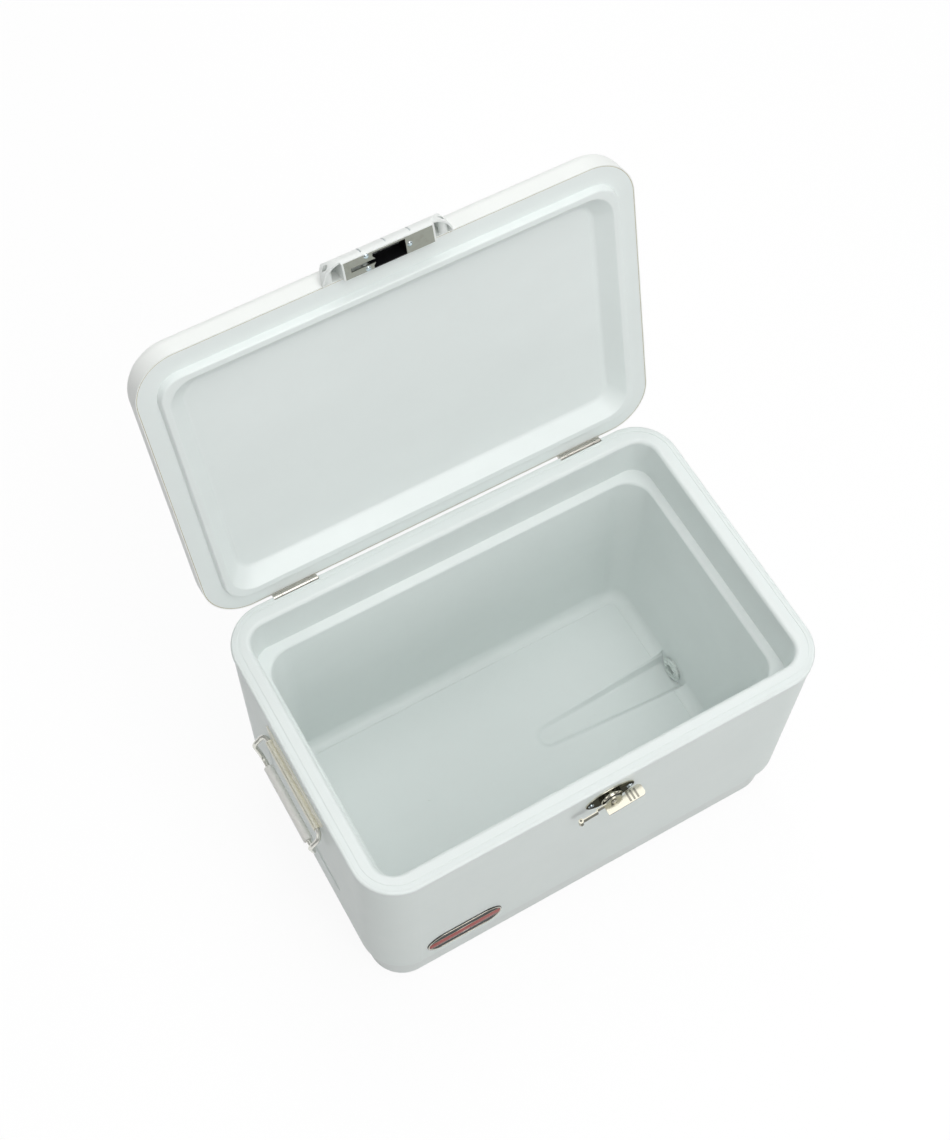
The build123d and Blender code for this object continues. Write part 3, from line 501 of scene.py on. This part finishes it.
def lid_seam():
    """Line of sealant in the joint between the lid's steel and its liner."""
    rings = []
    for i in range(SEAM_SIDES):
        a = 2 * math.pi * i / SEAM_SIDES
        inset = SEAM_INSET + SEAM_HALF_WIDTH * math.cos(a)
        z = LID_BASE + SEAM_RISE + SEAM_HALF_HEIGHT * math.sin(a)
        outline = rounded(LID_LENGTH - 2 * inset, LID_WIDTH - 2 * inset, LID_CORNER - inset)
        rings.append([(x, y, z) for x, y in outline])
    band("lid_seam_sealant", rings, True, "seam_putty", "lid", LID_OPEN)


def on_badge(points, out):
    """Points of the badge's face, raised out of it."""
    return [(BADGE_X + x, BADGE_FACE - out, BADGE_Z + y) for x, y in points]


# Section of the rim, from its outer foot to its inner one: inset from the badge's edge, rise off its face
RIM_SECTION = (
    (0.0004, -0.0003),
    (0.0004, 0.0002),
    (0.0009, 0.0005),
    (0.0018, 0.0005),
    (0.0024, 0.0000),
    (0.0024, -0.0003),
)
RIM_FLAT = 0.0001


def badge_rim():
    """Bright raised edge round the badge, with ends that are all but half circles."""
    rings = []
    for inset, out in RIM_SECTION:
        height = BADGE_HEIGHT - 2 * inset
        outline = rounded(BADGE_LENGTH - 2 * inset, height, height / 2 - RIM_FLAT)
        rings.append(on_badge(outline, out))
    band("badge_rim", rings, True, "nickel", "body")


def badge_band(name, low, high, material):
    """Flat band across the badge, inside its rim."""
    radius = BADGE_HEIGHT / 2 - BAND_INSET
    straight = BADGE_LENGTH / 2 - BADGE_HEIGHT / 2
    right = []
    for i in range(BAND_STEPS + 1):
        y = low + (high - low) * i / BAND_STEPS
        right.append((straight + math.sqrt(max(radius ** 2 - y ** 2, 0.0)), y))
    outline = right + [(-x, y) for x, y in reversed(right)]
    middle = (low + high) / 2
    inner = [(x - math.copysign(BAND_EDGE, x), y - math.copysign(BAND_EDGE, y - middle)) for x, y in outline]
    foot = on_badge(outline, -BAND_SUNK)
    shoulder = on_badge(outline, BAND_PROUD - BAND_EDGE)
    top = on_badge(inner, BAND_PROUD)
    band(name, [foot, shoulder, top], False, material, "body")


lid_seam()
badge_rim()
badge_band("badge_red_band", -RED_HALF, RED_HALF, "badge_red")
badge_band("badge_line_upper", LINE_FROM, LINE_TO, "nickel")
badge_band("badge_line_lower", -LINE_TO, -LINE_FROM, "nickel")


# Floor, light and camera

FLOOR_HALF = 9.0
FLOOR_Z = -0.0004
FLOOR_PAPER = (0.50, 0.50, 0.50, 1)
FLOOR_GLOW = 1.13
GLOW_SHARE = 0.80

BACKDROP = 1.0
SKY_LOW = 0.19
SKY_HIGH = 0.38
SKY_FROM = 0.15
SKY_TO = 0.75

# Name, place, aim, diameter and watts
LAMPS = (
    ("overhead", (0.5, 0.8, 3.4), (0, 0, 0.3), 2.6, 24),
    ("overfront", (0.2, -1.2, 3.2), (0, 0, 0.3), 2.0, 28),
    ("front", (0.6, -3.2, 1.8), (0, 0, 0.25), 1.8, 28),
    ("left", (-3.2, -0.4, 2.6), (0, 0, 0.3), 1.6, 15),
    ("right", (3.2, -0.4, 2.2), (0, 0, 0.3), 1.8, 9),
    ("back", (0.6, 2.8, 2.4), (0, 0.2, 0.6), 1.8, 20),
)

# Millimetres for the first two, metres for the rest
SENSOR_WIDTH = 36.0
FOCAL_LENGTH = 66.044
CLIP_START = 0.05
CLIP_END = 50.0
CAMERA_PLACE = (-0.4834, -0.6889, 2.1273)

# Unit vectors to the camera's right, up and back
CAMERA_AXES = (
    (0.86892, -0.49475, 0.01402),
    (0.43230, 0.77242, 0.46529),
    (-0.24103, -0.39823, 0.88505),
)


def floor():
    """Paper that takes the object's shadow, and glows white to the camera and in reflections."""
    corners = ((-1, -1), (1, -1), (1, 1), (-1, 1))
    mesh = bpy.data.meshes.new("floor")
    mesh.from_pydata([(x * FLOOR_HALF, y * FLOOR_HALF, FLOOR_Z) for x, y in corners], [], [(0, 1, 2, 3)])
    obj = bpy.data.objects.new("floor", mesh)
    bpy.context.scene.collection.objects.link(obj)
    material = bpy.data.materials.new("floor_paper")
    n = Tree(material)
    n.nodes.clear()
    paper = n.add("ShaderNodeBsdfDiffuse")
    n.put(FLOOR_PAPER, paper.inputs["Color"])
    path = n.add("ShaderNodeLightPath").outputs
    seen = n.math("MAXIMUM", path["Is Camera Ray"], path["Is Glossy Ray"])
    seen = n.math("MAXIMUM", seen, path["Is Transmission Ray"])
    share = n.math("MULTIPLY", seen, GLOW_SHARE)
    glow = n.white("ShaderNodeEmission", FLOOR_GLOW)
    n.surface("ShaderNodeOutputMaterial", share, paper.outputs[0], glow)
    mesh.materials.append(material)


def world():
    """White backdrop for the camera; for the object, a soft sky that falls off towards the horizon."""
    studio = bpy.data.worlds.new("studio")
    bpy.context.scene.world = studio
    n = Tree(studio)
    n.nodes.clear()
    height = n.axes(n.add("ShaderNodeTexCoord").outputs["Generated"])["Z"]
    strength = n.span(height, SKY_LOW, SKY_HIGH, SKY_FROM, SKY_TO, "SMOOTHSTEP")
    sky = n.white("ShaderNodeBackground", strength)
    backdrop = n.white("ShaderNodeBackground", BACKDROP)
    path = n.add("ShaderNodeLightPath").outputs
    n.surface("ShaderNodeOutputWorld", path["Is Camera Ray"], sky, backdrop)


def lamp(name, place, aim, diameter, watts):
    data = bpy.data.lights.new(name, "AREA")
    data.shape = "DISK"
    data.size = diameter
    data.energy = watts
    obj = bpy.data.objects.new(name, data)
    bpy.context.scene.collection.objects.link(obj)
    obj.location = place
    obj.rotation_mode = "QUATERNION"
    obj.rotation_quaternion = (Vector(aim) - Vector(place)).to_track_quat("-Z", "Y")


def camera():
    """The camera as it was fitted to the photograph."""
    data = bpy.data.cameras.new("camera")
    data.sensor_fit = "HORIZONTAL"
    data.sensor_width = SENSOR_WIDTH
    data.lens = FOCAL_LENGTH
    data.clip_start = CLIP_START
    data.clip_end = CLIP_END
    obj = bpy.data.objects.new("camera", data)
    bpy.context.scene.collection.objects.link(obj)
    obj.matrix_world = Matrix.Translation(CAMERA_PLACE) @ Matrix(CAMERA_AXES).transposed().to_4x4()
    bpy.context.scene.camera = obj


floor()
world()
for settings in LAMPS:
    lamp(*settings)
camera()
bpy.context.scene.view_settings.view_transform = "Standard"
